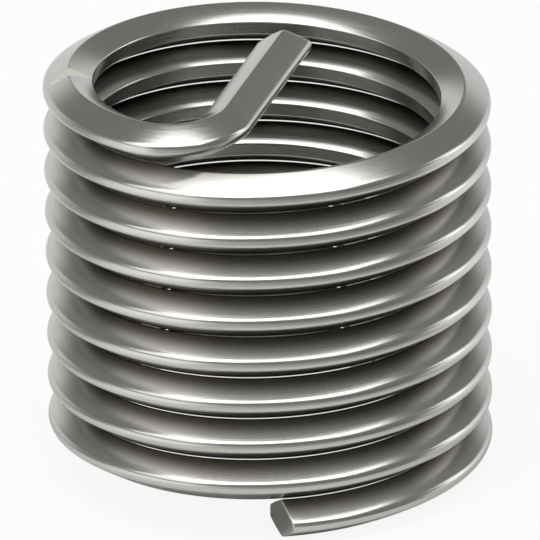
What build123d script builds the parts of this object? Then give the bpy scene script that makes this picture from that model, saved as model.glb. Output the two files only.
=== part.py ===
from build123d import *
from build123d.topology import SkipClean
from math import asin, atan, cos, degrees, pi, radians, sin, sqrt, tan
import os

# Wire thread insert for an M8 x 1 screw thread, as it is before it is wound
# into its tapped hole. It is one length of stainless wire of diamond section,
# coiled as a right-hand helix whose outer and inner edges both form a
# 60 degree thread. The plain end is at the bottom. At the top the wire bends
# in across the bore as the driving tang, with a break-off notch before it.
# Millimetres. Z is the axis of the coil, and the wire rests on Z = 0.

# Thread
pitch = 1.0
flank_angle = 60.0
free_outside_diameter = 10.1
coil_turns = 8.88

# Wire section
ridge_to_ridge = 0.875 * pitch
inner_crest_flat = pitch / 4
outer_crest_radius = 0.17 * pitch

# Placing of the coil about its axis
plain_end_angle = -87.2
turns_short_of_tang = 0.5

# Driving tang
tang_bend_radius = 1.25 * pitch
tang_straight = 4.3
tang_offset = 0.0

# The two sheared ends and the notch are all cut at the same skew
shear_skew = 23.0
notch_before_bend = 47.0
notch_depth = 0.31 * pitch
notch_angle = 75.0

# The section is drawn from the ridge, its widest point between two flanks.
flank_slope = tan(radians(flank_angle / 2))
half_width = ridge_to_ridge / 2
outer_sharp = half_width / flank_slope
outer_depth = outer_sharp - outer_crest_radius * (1 / sin(radians(flank_angle / 2)) - 1)
inner_depth = (half_width - inner_crest_flat / 2) / flank_slope
ridge_radius = free_outside_diameter / 2 - outer_depth
bore_radius = ridge_radius - inner_depth
lead_angle = degrees(atan(pitch / (2 * pi * ridge_radius)))


def wire_section(plane, inner_reach=inner_depth):
    """Diamond section on a plane whose X runs outwards and whose Y runs up."""
    inner_half = half_width - inner_reach * flank_slope
    round_centre = outer_depth - outer_crest_radius
    tangent_x = round_centre + outer_crest_radius * sin(radians(flank_angle / 2))
    tangent_y = outer_crest_radius * cos(radians(flank_angle / 2))
    with BuildSketch(plane) as section:
        with BuildLine():
            Polyline(
                (tangent_x, -tangent_y),
                (0, -half_width),
                (-inner_reach, -inner_half),
                (-inner_reach, inner_half),
                (0, half_width),
                (tangent_x, tangent_y),
            )
            ThreePointArc((tangent_x, tangent_y), (outer_depth, 0), (tangent_x, -tangent_y))
        make_face()
    return section.sketch


def station(turned, radius=ridge_radius, centre=(0, 0), height=0.0):
    """Section plane of a helix about centre, with its X axis pointing outwards."""
    a = radians(turned)
    out = Vector(cos(a), sin(a), 0)
    along = Vector(-sin(a), cos(a), tan(radians(lead_angle))).normalized()
    origin = Vector(centre[0], centre[1], height) + out * radius
    return Plane(origin=origin, x_dir=out, z_dir=-along)


def coil_length(first_turn, last_turn):
    """Path of the ridge line between two counts of turns from the plain end."""
    height = (last_turn - first_turn) * pitch
    path = Edge.make_helix(pitch, height, ridge_radius)
    path = path.rotate(Axis.Z, 360 * first_turn)
    return path.moved(Location((0, 0, first_turn * pitch)))


# Lower coils, a pattern of like half turns. Each is swept a little too deep,
# then the bore takes its inner crest to the true radius as a round wall.
over_depth = 0.06 * pitch
lead_in = 0.02
half_turns = int(2 * (coil_turns - turns_short_of_tang))
with BuildPart() as half_turn:
    sweep(
        wire_section(station(0), inner_depth + over_depth),
        path=Edge.make_helix(pitch, pitch / 2, ridge_radius),
        is_frenet=True,
    )
    with Locations((0, 0, -pitch)):
        Cylinder(
            bore_radius,
            3 * pitch,
            rotation=(0, 0, -90),
            align=(Align.CENTER, Align.CENTER, Align.MIN),
            mode=Mode.SUBTRACT,
        )
wound_turns = half_turns / 2 - lead_in

# Rest of the top coil, then the bend inwards: a smaller helix of the same
# lead, tangent inside the coil, that turns until the wire points across.
swing = 90 + degrees(asin((tang_bend_radius + tang_offset) / (ridge_radius - tang_bend_radius)))
bend_start = 360 * coil_turns
bend_pitch = 2 * pi * tang_bend_radius * tan(radians(lead_angle))
bend_rise = bend_pitch * swing / 360
bend_reach = ridge_radius - tang_bend_radius
bend_centre = (
    bend_reach * cos(radians(bend_start)),
    bend_reach * sin(radians(bend_start)),
)
with BuildPart() as top_wire:
    sweep(
        wire_section(station(360 * wound_turns, height=wound_turns * pitch)),
        path=coil_length(wound_turns, coil_turns),
        is_frenet=True,
        clean=False,
    )
    bend_path = Edge.make_helix(bend_pitch, bend_rise, tang_bend_radius)
    bend_path = bend_path.rotate(Axis.Z, bend_start)
    sweep(
        wire_section(
            station(bend_start, tang_bend_radius, bend_centre, coil_turns * pitch)
        ),
        path=bend_path.moved(Location((bend_centre[0], bend_centre[1], coil_turns * pitch))),
        is_frenet=True,
        clean=False,
    )
    bend_end = station(
        bend_start + swing,
        tang_bend_radius,
        bend_centre,
        coil_turns * pitch + bend_rise,
    )
    extrude(wire_section(bend_end), amount=-(tang_straight + pitch), clean=False)



def shear_plane(section):
    """Upright plane across the wire at a section, its Y axis along the wire."""
    upright = Plane(section.origin, x_dir=section.x_dir, z_dir=(0, 0, 1))
    return upright.rotated((0, 0, shear_skew))


# Blocks that shear off both ends. The one at the plain end reaches up only
# halfway into the gap under the next coil.
plain_end = shear_plane(station(0)).offset(pitch / 2)
plain_block = Box(2 * pitch, pitch, 1.5 * pitch, align=(Align.CENTER, Align.MAX, Align.MAX))
tang_end = Plane(
    bend_end.origin - bend_end.z_dir * tang_straight,
    x_dir=bend_end.x_dir,
    z_dir=bend_end.z_dir,
)
tang_block = Box(2 * pitch, 1.5 * pitch, 2 * pitch, align=(Align.CENTER, Align.MIN, Align.CENTER))

# Break-off notch: a V across the top ridge, just before the bend.
notch_turned = bend_start - notch_before_bend
notch_station = station(notch_turned, height=pitch * notch_turned / 360 + half_width)
notch_across = shear_plane(notch_station)
notch_plane = Plane(notch_across.origin, x_dir=notch_across.y_dir, z_dir=notch_across.x_dir)
notch_rise = pitch / 2
notch_spread = (notch_depth + notch_rise) * tan(radians(notch_angle / 2))
with BuildPart() as notch:
    with BuildSketch(notch_plane):
        Polygon(
            (0, -notch_depth),
            (notch_spread, notch_rise),
            (-notch_spread, notch_rise),
            align=None,
        )
    extrude(amount=pitch, both=True)

# The whole wire. Its pieces meet face to face across the section. The half
# turns of the bore stay separate wall faces.
with SkipClean():
    first = half_turn.part.moved(Location((0, 0, -lead_in * pitch), (0, 0, -360 * lead_in)))
    others = [
        half_turn.part.moved(
            Location((0, 0, (half / 2 - lead_in) * pitch), (0, 0, 180 * half - 360 * lead_in))
        )
        for half in range(1, half_turns)
    ]
    first = first.cut(plain_block.moved(Location(plain_end)))
    tang = top_wire.part.cut(tang_block.moved(Location(shear_plane(tang_end))), notch.part)
    insert_wire = first.fuse(*others, tang)

# The lowest point of the plain end comes down to Z = 0.
lift = half_width / cos(radians(lead_angle))
insert_wire = insert_wire.rotate(Axis.Z, plain_end_angle).moved(Location((0, 0, lift)))
insert_wire.label = "insert_wire"

os.makedirs("parts", exist_ok=True)
export_step(insert_wire, "parts/insert_wire.step")
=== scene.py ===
from math import asin, cos, degrees, pi, radians, sin, sqrt, tan

import bmesh
import bpy
import numpy as np
from mathutils import Matrix, Vector


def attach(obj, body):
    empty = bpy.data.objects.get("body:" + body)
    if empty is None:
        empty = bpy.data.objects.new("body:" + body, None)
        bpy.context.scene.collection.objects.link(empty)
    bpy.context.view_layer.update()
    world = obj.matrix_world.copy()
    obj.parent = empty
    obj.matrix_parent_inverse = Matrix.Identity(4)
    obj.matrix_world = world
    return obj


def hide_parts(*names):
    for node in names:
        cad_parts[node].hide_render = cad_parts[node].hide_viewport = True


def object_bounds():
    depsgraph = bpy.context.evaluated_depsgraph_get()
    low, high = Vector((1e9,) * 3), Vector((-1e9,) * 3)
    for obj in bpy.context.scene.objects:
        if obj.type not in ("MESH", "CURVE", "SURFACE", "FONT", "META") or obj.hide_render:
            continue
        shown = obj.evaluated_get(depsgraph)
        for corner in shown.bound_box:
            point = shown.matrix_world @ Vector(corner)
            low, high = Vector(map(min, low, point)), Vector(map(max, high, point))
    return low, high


# A wire thread insert standing on a pale floor: one coil of drawn stainless
# wire, its driving tang across the top of the bore. Metres, Z up, and the
# coil's axis on the origin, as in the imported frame.
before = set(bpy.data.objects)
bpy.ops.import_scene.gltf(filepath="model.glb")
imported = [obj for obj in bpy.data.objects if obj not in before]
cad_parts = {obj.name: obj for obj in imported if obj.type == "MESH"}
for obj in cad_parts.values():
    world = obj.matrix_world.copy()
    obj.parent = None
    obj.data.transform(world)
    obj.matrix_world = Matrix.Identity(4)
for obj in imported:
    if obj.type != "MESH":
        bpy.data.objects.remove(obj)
cad_low, cad_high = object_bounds()
scene = bpy.context.scene
scene.view_settings.view_transform = "Standard"


# ---------------------------------------------------------------- camera
# A long lens looks down on the insert from the front, turned a little so
# that the coil leans to the left in the frame.
camera_elevation = radians(23.35)
camera_roll = radians(0.65)
camera_distance = 0.300
camera_target = Vector((0, 0, 0.004618))
view_height = 0.012236

camera_data = bpy.data.cameras.new("camera")
camera_data.sensor_width = 36
camera_data.lens = camera_data.sensor_width * camera_distance / view_height
camera_data.shift_x = 0.0022
camera_data.clip_start = 0.01
camera_data.clip_end = 5
camera = bpy.data.objects.new("camera", camera_data)
scene.collection.objects.link(camera)
towards_camera = Vector((0, -cos(camera_elevation), sin(camera_elevation)))
camera.location = camera_target + camera_distance * towards_camera
facing = (-towards_camera).to_track_quat("-Z", "Y").to_matrix().to_4x4()
camera.matrix_world = (
    Matrix.Translation(camera.location) @ facing @ Matrix.Rotation(-camera_roll, 4, "Z")
)
scene.camera = camera


# ---------------------------------------------------------------- wire
# The wire's section as it is swept along the coil. Its form is the solid's,
# with the small roundings that rolling leaves on the ridges and the inner
# crest. X runs outwards from the ridge and Y up.
pitch = 0.001
flank_slope = tan(radians(30))
half_width = 0.4375 * pitch
inner_half = 0.15 * pitch
inner_depth = (half_width - pitch / 8) / flank_slope
outer_sharp = half_width / flank_slope
outer_crest_radius = 0.17 * pitch
outside_radius = (cad_high.x - cad_low.x) / 2
ridge_radius = outside_radius - outer_sharp + outer_crest_radius


def rounded_section(corners, roundings, spacing, crowns):
    """Points round a closed convex section with rounded corners and slightly crowned sides."""
    points = []
    count = len(corners)
    for i in range(count):
        corner = Vector(corners[i])
        before = (Vector(corners[i - 1]) - corner).normalized()
        after = (Vector(corners[(i + 1) % count]) - corner).normalized()
        half_angle = before.angle(after) / 2
        radius = roundings[i]
        centre = corner + (before + after).normalized() * radius / sin(half_angle)
        start = corner + before * radius / tan(half_angle)
        sweep_angle = pi - 2 * half_angle
        turning = 1 if before.cross(after) < 0 else -1
        steps = max(3, round(degrees(sweep_angle) / 9))
        arm = start - centre
        arc = []
        for k in range(steps + 1):
            a = turning * sweep_angle * k / steps
            arc.append(centre + Vector((arm.x * cos(a) - arm.y * sin(a), arm.x * sin(a) + arm.y * cos(a))))
        points.append(arc)
    outline = []
    for i in range(count):
        outline += points[i]
        run = points[(i + 1) % count][0] - points[i][-1]
        inner_points = max(2, int(run.length / spacing))
        edge = min(0.25, 0.02 * pitch / run.length)
        places = [edge + (1 - 2 * edge) * k / (inner_points - 1) for k in range(inner_points)]
        bulge = Vector((run.y, -run.x)).normalized() * crowns[i]
        if bulge.dot(points[i][-1] + run / 2) < 0:
            bulge = -bulge
        outline += [points[i][-1] + run * t + bulge * 4 * t * (1 - t) for t in places]
    return np.array([(p.x, p.y) for p in outline])


ridge_rounding = 0.08 * pitch
inner_rounding = 0.05 * pitch
section = rounded_section(
    corners=[
        (outer_sharp, 0),
        (0, -half_width),
        (-inner_depth, -inner_half),
        (-inner_depth, inner_half),
        (0, half_width),
    ],
    roundings=[outer_crest_radius, ridge_rounding, inner_rounding, inner_rounding, ridge_rounding],
    spacing=0.09 * pitch,
    crowns=[0.006 * pitch, 0.020 * pitch, 0, 0.020 * pitch, 0.006 * pitch],
)

# The ridge line that the section follows: the coil, the bend inwards as a
# smaller helix of the same lead, and the straight tang.
coil_turns = 8.88
start_angle = radians(-87.2)
bend_radius = 1.25 * pitch
tang_length = 4.3 * pitch
lead = pitch / (2 * pi * ridge_radius)
lift = half_width * sqrt(1 + lead**2)
climb = 1 / sqrt(1 + lead**2)
bend_reach = ridge_radius - bend_radius
bend_angle = start_angle + 2 * pi * coil_turns
swing = pi / 2 + asin(bend_radius / bend_reach)
coil_length = 2 * pi * coil_turns * ridge_radius / climb
bend_length = swing * bend_radius / climb
wire_length = coil_length + bend_length + tang_length


def ridge_stations(s):
    """Origins on the ridge line at lengths s, with the section's outward, up and forward axes."""
    on_coil = np.minimum(s, coil_length)
    on_bend = np.clip(s - coil_length, 0, bend_length)
    on_tang = np.maximum(s - coil_length - bend_length, 0)
    coiled = start_angle + on_coil * climb / ridge_radius
    turned = coiled + on_bend * climb / bend_radius
    zero = np.zeros_like(turned)
    out = np.stack([np.cos(turned), np.sin(turned), zero], -1)
    forward = np.stack([-np.sin(turned), np.cos(turned), zero + lead], -1) * climb
    up = np.cross(out, forward)
    height = lift + s * lead * climb
    before_bend = np.stack([np.cos(coiled), np.sin(coiled), zero], -1)
    origin = np.where(
        (s > coil_length)[..., None],
        before_bend * bend_reach + out * bend_radius,
        before_bend * ridge_radius,
    )
    origin = origin + forward * on_tang[..., None]
    origin[..., 2] = height
    return origin, out, up, forward


# Where coils lie on each other their ridges all but touch.
ridge_closing = 0.14
near_ridge = 1 - np.abs(section[:, 0]) / np.where(section[:, 0] > 0, outer_sharp, inner_depth)


def on_wire(s):
    """Surface points at lengths s, one for each point of the section, and how deep between coils each lies."""
    origin, out, up, forward = ridge_stations(s)
    turns = s * climb / (2 * pi * ridge_radius)
    under = np.clip((turns - 0.6) / 0.4, 0, 1)
    over = np.clip((coil_turns - 0.6 - turns) / 0.4, 0, 1)
    x, y = section.T
    between = near_ridge * np.where(y < 0, under, over)
    y = y * (1 + ridge_closing * between)
    return origin + out * x[:, None] + up * y[:, None], between


def length_at_cut(near, origin, normal):
    """Length along the wire at which each column of the section meets a cutting plane."""
    s = np.full(len(section), near)
    for _ in range(12):
        off = (on_wire(s)[0] - origin) @ normal
        s = s - off
    return s


def shear_normal(s, skew=radians(23)):
    """Normal of the upright plane that shears the wire at a skew."""
    origin, out, up, forward = ridge_stations(np.array([s]))
    level = Vector((-out[0][1], out[0][0], 0))
    level.rotate(Matrix.Rotation(skew, 3, "Z"))
    return origin[0], np.array(level)


plain_origin, plain_normal = shear_normal(0.0)
tang_origin, tang_normal = shear_normal(wire_length)
plain_cut = length_at_cut(0.0, plain_origin, plain_normal)
tang_cut = length_at_cut(wire_length, tang_origin, tang_normal)

# Rings from end to end. Near each end they lean over to the plane of its cut.
end_rounding = 0.035 * pitch
steps_in_turn = 132
coil_steps = round(coil_turns * steps_in_turn)
ring_lengths = np.concatenate(
    [
        np.linspace(end_rounding, coil_length, coil_steps, endpoint=False),
        np.linspace(coil_length, coil_length + bend_length, 40, endpoint=False),
        np.linspace(coil_length + bend_length, wire_length - end_rounding, 30),
    ]
)
lean_length = 2 * pitch
lean_plain = np.clip(1 - ring_lengths / lean_length, 0, 1)[:, None]
lean_tang = np.clip(1 - (wire_length - ring_lengths) / lean_length, 0, 1)[:, None]
grid = ring_lengths[:, None] + plain_cut * lean_plain + (tang_cut - wire_length) * lean_tang
rings = [on_wire(row)[0] for row in grid]
# How deep between the coils each point lies, which sets the painted shade in the steel's colour.
deep = [on_wire(row)[1] for row in grid]


def end_rings(cut, inwards):
    """Rings that round the edge of a sheared end and close its face, from the edge inwards."""
    face = on_wire(cut)[0]
    middle = face.mean(0)
    reach = np.linalg.norm(face - middle, axis=1)[:, None]
    found = []
    for k in range(1, 5):
        a = radians(90 * k / 4)
        side = on_wire(cut + inwards * end_rounding * (1 - sin(a)))[0]
        found.append(side + (middle - face) * end_rounding * (1 - cos(a)) / reach)
    flat = found[-1]
    for share in (0.15, 0.4, 0.7):
        found.append(flat + (middle - flat) * share)
    return found, middle


plain_rings, plain_middle = end_rings(plain_cut, 1)
tang_rings, tang_middle = end_rings(tang_cut, -1)
rings = plain_rings[::-1] + rings + tang_rings
columns = len(section)
vertices = np.concatenate([ring.reshape(-1, 3) for ring in rings] + [[plain_middle, tang_middle]])
ring_count = len(rings)
faces = []
for i in range(ring_count - 1):
    for j in range(columns):
        k = (j + 1) % columns
        faces.append((i * columns + j, i * columns + k, (i + 1) * columns + k, (i + 1) * columns + j))
first_middle = ring_count * columns
last_ring = (ring_count - 1) * columns
for j in range(columns):
    k = (j + 1) % columns
    faces.append((first_middle, k, j))
    faces.append((first_middle + 1, last_ring + j, last_ring + k))

wire_mesh = bpy.data.meshes.new("insert_wire_surface")
wire_mesh.from_pydata(vertices.tolist(), [], faces)
wire = bpy.data.objects.new("insert_wire_surface", wire_mesh)
scene.collection.objects.link(wire)

# Length along the wire and place round its section, in millimetres, for the
# grain of the metal.
step_lengths = np.linalg.norm(section - np.roll(section, 1, 0), axis=1)
round_section = np.cumsum(step_lengths) * 1000
cap_rings = len(plain_rings)
ring_s = np.concatenate([[0] * cap_rings, ring_lengths, [wire_length] * cap_rings]) * 1000
grain = wire_mesh.uv_layers.new(name="grain")
uv = np.zeros((len(wire_mesh.loops), 2), np.float32)
loop = 0
perimeter = round_section[-1] + step_lengths[0] * 1000
for i in range(ring_count - 1):
    for j in range(columns):
        v0 = round_section[j]
        v1 = round_section[j + 1] if j + 1 < columns else perimeter
        uv[loop : loop + 4] = ((ring_s[i], v0), (ring_s[i], v1), (ring_s[i + 1], v1), (ring_s[i + 1], v0))
        loop += 4
grain.data.foreach_set("uv", uv.ravel())
# Painted shade: how far each point lies between the coils, kept so that the steel's colour can be darkened
# there.
between_coils_shade = np.concatenate([np.zeros(cap_rings * columns), np.concatenate(deep), np.zeros(cap_rings * columns + 2)])
wire_mesh.attributes.new("between_coils_shade", "FLOAT", "POINT").data.foreach_set("value", between_coils_shade.astype(np.float32))
wire_mesh.validate()
wire_mesh.update()

# Break-off notch: a V across the top ridge, cut before the bend.
notch_depth = 0.31 * pitch
notch_half_angle = radians(37.5)
notch_s = coil_length - radians(47) * ridge_radius / climb
notch_origin, notch_normal = shear_normal(notch_s)
across = Vector((0, 0, 1)).cross(Vector(notch_normal))
notch_top = notch_origin + np.array((0, 0, half_width))
bottom = Vector(notch_top) - Vector((0, 0, notch_depth))
rise = notch_depth + pitch / 2
spread = Vector(notch_normal) * rise * tan(notch_half_angle)
wedge_points = []
for side in (-1, 1):
    foot = bottom + across * side * pitch
    wedge_points += [foot, foot + spread + Vector((0, 0, rise)), foot - spread + Vector((0, 0, rise))]
wedge_faces = [(0, 1, 2), (5, 4, 3), (0, 3, 4, 1), (1, 4, 5, 2), (2, 5, 3, 0)]
wedge_mesh = bpy.data.meshes.new("notch_wedge")
wedge_mesh.from_pydata([tuple(p) for p in wedge_points], [], wedge_faces)
wedge = bpy.data.objects.new("notch_wedge", wedge_mesh)
scene.collection.objects.link(wedge)

for mesh in (wire_mesh, wedge_mesh):
    cleaned = bmesh.new()
    cleaned.from_mesh(mesh)
    bmesh.ops.recalc_face_normals(cleaned, faces=cleaned.faces)
    cleaned.to_mesh(mesh)
    cleaned.free()


# ---------------------------------------------------------------- materials
def new_material(name):
    material = bpy.data.materials.new(name)
    material.use_nodes = True
    material.node_tree.nodes.clear()
    return material, material.node_tree


def add(tree, kind, **values):
    node = tree.nodes.new(kind)
    for key, value in values.items():
        if key in node.inputs:
            node.inputs[key].default_value = value
        else:
            setattr(node, key, value)
    return node


# Drawn stainless wire: bright, with fine lines along its length. Its colour is painted darker on the flanks
# between the coils, as painted shade where each coil shades the next.
steel, tree = new_material("drawn_stainless")
grain_map = add(tree, "ShaderNodeUVMap", uv_map="grain")
stretch = add(tree, "ShaderNodeMapping")
stretch.inputs["Scale"].default_value = (0.35, 30, 1)
tree.links.new(grain_map.outputs["UV"], stretch.inputs["Vector"])
lines = add(tree, "ShaderNodeTexNoise", noise_dimensions="2D")
lines.inputs["Scale"].default_value = 1.0
lines.inputs["Detail"].default_value = 4
tree.links.new(stretch.outputs["Vector"], lines.inputs["Vector"])
rough = add(tree, "ShaderNodeMapRange")
rough.inputs["From Min"].default_value = 0.3
rough.inputs["From Max"].default_value = 0.7
rough.inputs["To Min"].default_value = 0.17
rough.inputs["To Max"].default_value = 0.24
tree.links.new(lines.outputs["Fac"], rough.inputs["Value"])
bump = add(tree, "ShaderNodeBump")
bump.inputs["Strength"].default_value = 0.05
bump.inputs["Distance"].default_value = 0.00001
tree.links.new(lines.outputs["Fac"], bump.inputs["Height"])
shine = add(tree, "ShaderNodeBsdfPrincipled")
shine.inputs["Metallic"].default_value = 1
# Painted shade: the steel's colour goes to dark grey on the flanks between the coils, where the neighbouring
# coils shade them.
shade_mask = add(tree, "ShaderNodeAttribute", attribute_name="between_coils_shade")
painted_shade_share = add(tree, "ShaderNodeMapRange", interpolation_type="SMOOTHSTEP")
painted_shade_share.inputs["From Min"].default_value = 0.35
painted_shade_share.inputs["From Max"].default_value = 0.95
tree.links.new(shade_mask.outputs["Fac"], painted_shade_share.inputs["Value"])
steel_or_painted_shade = add(tree, "ShaderNodeMix", data_type="RGBA")
steel_or_painted_shade.inputs[6].default_value = (0.63, 0.62, 0.60, 1)
steel_or_painted_shade.inputs[7].default_value = (0.20, 0.19, 0.165, 1)
tree.links.new(painted_shade_share.outputs["Result"], steel_or_painted_shade.inputs[0])
tree.links.new(steel_or_painted_shade.outputs[2], shine.inputs["Base Color"])
tree.links.new(rough.outputs["Result"], shine.inputs["Roughness"])
tree.links.new(bump.outputs["Normal"], shine.inputs["Normal"])
out = add(tree, "ShaderNodeOutputMaterial")
tree.links.new(shine.outputs["BSDF"], out.inputs["Surface"])
wire_mesh.materials.append(steel)

sheared, tree = new_material("sheared_stainless")
shine = add(tree, "ShaderNodeBsdfPrincipled")
shine.inputs["Metallic"].default_value = 1
shine.inputs["Base Color"].default_value = (0.84, 0.83, 0.76, 1)
shine.inputs["Roughness"].default_value = 0.35
out = add(tree, "ShaderNodeOutputMaterial")
tree.links.new(shine.outputs["BSDF"], out.inputs["Surface"])
wire_mesh.materials.append(sheared)
wedge_mesh.materials.append(sheared)

cutter = wire.modifiers.new("notch", "BOOLEAN")
cutter.operation = "DIFFERENCE"
cutter.solver = "EXACT"
cutter.material_mode = "TRANSFER"
cutter.object = wedge
depsgraph = bpy.context.evaluated_depsgraph_get()
cut_mesh = bpy.data.meshes.new_from_object(wire.evaluated_get(depsgraph))
wire.modifiers.clear()
wire.data = cut_mesh
bpy.data.objects.remove(wedge)
cut_mesh.shade_smooth()
cut_mesh.set_sharp_from_angle(angle=radians(35))

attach(wire, "root")
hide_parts("insert_wire")


def ramp_of(tree, source, stops):
    """Colour ramp from (place, grey level) stops."""
    ramp = add(tree, "ShaderNodeValToRGB")
    elements = ramp.color_ramp.elements
    while len(elements) < len(stops):
        elements.new(0.5)
    for element, (at, level) in zip(elements, stops):
        element.position = at
        element.color = (level, level, level, 1)
    tree.links.new(source, ramp.inputs["Fac"])
    return ramp.outputs["Color"]


# Brightness of the room by compass heading, from the back round by the left,
# the front and the right: pale walls, a window on the left front and the
# right, and the dark side from which the insert is looked at.
round_the_room = bpy.data.node_groups.new("round_the_room", "ShaderNodeTree")
round_the_room.interface.new_socket("Direction", in_out="INPUT", socket_type="NodeSocketVector")
round_the_room.interface.new_socket("Level", in_out="OUTPUT", socket_type="NodeSocketColor")
entry = add(round_the_room, "NodeGroupInput")
parts_of = add(round_the_room, "ShaderNodeSeparateXYZ")
round_the_room.links.new(entry.outputs[0], parts_of.inputs[0])
ahead = add(round_the_room, "ShaderNodeMath", operation="MULTIPLY")
ahead.inputs[1].default_value = -1
round_the_room.links.new(parts_of.outputs["Y"], ahead.inputs[0])
angle = add(round_the_room, "ShaderNodeMath", operation="ARCTAN2")
round_the_room.links.new(parts_of.outputs["X"], angle.inputs[0])
round_the_room.links.new(ahead.outputs[0], angle.inputs[1])
fraction = add(round_the_room, "ShaderNodeMapRange")
fraction.inputs["From Min"].default_value = -pi
fraction.inputs["From Max"].default_value = pi
round_the_room.links.new(angle.outputs[0], fraction.inputs["Value"])
headings = [
    (-180, 0.75), (-150, 0.85), (-128, 0.70), (-113, 0.30), (-97, 0.30), (-84, 0.90), (-65, 1.25), (-42, 1.20),
    (-26, 0.50), (0, 0.36), (45, 0.18), (76, 0.20), (93, 0.90), (115, 1.15), (140, 0.75), (180, 0.75),
]
leave = add(round_the_room, "NodeGroupOutput")
level = ramp_of(round_the_room, fraction.outputs["Result"], [((at + 180) / 360, v) for at, v in headings])
round_the_room.links.new(level, leave.inputs[0])


# ---------------------------------------------------------------- floor
floor_size = 1.2
floor_mesh = bpy.data.meshes.new("floor")
half = floor_size / 2
floor_mesh.from_pydata(
    [(-half, -half, 0), (half, -half, 0), (half, half, 0), (-half, half, 0)], [], [(0, 1, 2, 3)]
)
floor = bpy.data.objects.new("floor", floor_mesh)
scene.collection.objects.link(floor)
paper, tree = new_material("pale_floor")
seen = add(tree, "ShaderNodeLightPath")
place = add(tree, "ShaderNodeNewGeometry")
outwards = add(tree, "ShaderNodeVectorMath", operation="LENGTH")
tree.links.new(place.outputs["Position"], outwards.inputs[0])
clear = add(tree, "ShaderNodeMapRange", interpolation_type="SMOOTHSTEP")
clear.inputs["From Min"].default_value = 0.004
clear.inputs["From Max"].default_value = 0.020
clear.inputs["To Min"].default_value = 0.0
clear.inputs["To Max"].default_value = 0.75
tree.links.new(outwards.outputs["Value"], clear.inputs["Value"])
mirrored = add(tree, "ShaderNodeMath", operation="MULTIPLY")
tree.links.new(seen.outputs["Is Glossy Ray"], mirrored.inputs[0])
tree.links.new(clear.outputs["Result"], mirrored.inputs[1])
direct = add(tree, "ShaderNodeMath", operation="MULTIPLY")
direct.inputs[1].default_value = 0.9
tree.links.new(seen.outputs["Is Camera Ray"], direct.inputs[0])
share = add(tree, "ShaderNodeMath", operation="MAXIMUM")
tree.links.new(direct.outputs[0], share.inputs[0])
tree.links.new(mirrored.outputs[0], share.inputs[1])
room = add(tree, "ShaderNodeGroup", node_tree=round_the_room)
tree.links.new(place.outputs["Position"], room.inputs[0])
lit = add(tree, "ShaderNodeMix", data_type="FLOAT")
lit.inputs[3].default_value = 1.0
tree.links.new(seen.outputs["Is Camera Ray"], lit.inputs[0])
tree.links.new(room.outputs[0], lit.inputs[2])
matt = add(tree, "ShaderNodeBsdfDiffuse")
matt.inputs["Color"].default_value = (0.88, 0.88, 0.87, 1)
white = add(tree, "ShaderNodeEmission")
tree.links.new(lit.outputs[0], white.inputs["Strength"])
mix = add(tree, "ShaderNodeMixShader")
tree.links.new(share.outputs[0], mix.inputs["Fac"])
tree.links.new(matt.outputs["BSDF"], mix.inputs[1])
tree.links.new(white.outputs["Emission"], mix.inputs[2])
out = add(tree, "ShaderNodeOutputMaterial")
tree.links.new(mix.outputs["Shader"], out.inputs["Surface"])
floor_mesh.materials.append(paper)


# ---------------------------------------------------------------- light
world = bpy.data.worlds.new("studio")
scene.world = world
world.use_nodes = True
tree = world.node_tree
tree.nodes.clear()
direction = add(tree, "ShaderNodeTexCoord")
split = add(tree, "ShaderNodeSeparateXYZ")
tree.links.new(direction.outputs["Generated"], split.inputs["Vector"])
around = add(tree, "ShaderNodeGroup", node_tree=round_the_room)
tree.links.new(direction.outputs["Generated"], around.inputs[0])
above = ramp_of(tree, split.outputs["Z"], [(0.0, 0.0), (0.24, 0.05), (0.42, 1.0), (1.0, 1.0)])
both = add(tree, "ShaderNodeMix", data_type="RGBA")
both.inputs[7].default_value = (0.22, 0.22, 0.21, 1)
tree.links.new(above, both.inputs[0])
tree.links.new(around.outputs[0], both.inputs[6])
sky = add(tree, "ShaderNodeBackground")
tree.links.new(both.outputs[2], sky.inputs["Color"])
plain = add(tree, "ShaderNodeBackground")
plain.inputs["Color"].default_value = (1, 1, 1, 1)
seen = add(tree, "ShaderNodeLightPath")
mix = add(tree, "ShaderNodeMixShader")
tree.links.new(seen.outputs["Is Camera Ray"], mix.inputs["Fac"])
tree.links.new(sky.outputs["Background"], mix.inputs[1])
tree.links.new(plain.outputs["Background"], mix.inputs[2])
out = add(tree, "ShaderNodeOutputWorld")
tree.links.new(mix.outputs["Shader"], out.inputs["Surface"])


def soft_box(name, azimuth, elevation, distance, width, height, power):
    """Area lamp at a direction seen from the insert, facing it."""
    data = bpy.data.lights.new(name, "AREA")
    data.shape = "RECTANGLE"
    data.size, data.size_y = width, height
    data.energy = power
    lamp = bpy.data.objects.new(name, data)
    scene.collection.objects.link(lamp)
    a, e = radians(azimuth), radians(elevation)
    place = Vector((sin(a) * cos(e), -cos(a) * cos(e), sin(e))) * distance
    lamp.matrix_world = Matrix.Translation(place) @ place.to_track_quat("Z", "Y").to_matrix().to_4x4()
    return lamp


soft_box("overhead", 0, 76, 0.45, 0.52, 0.34, 1.3)
soft_box("left", -64, 50, 0.40, 0.26, 0.26, 0.26)
soft_box("right", 108, 26, 0.40, 0.10, 0.20, 0.08)
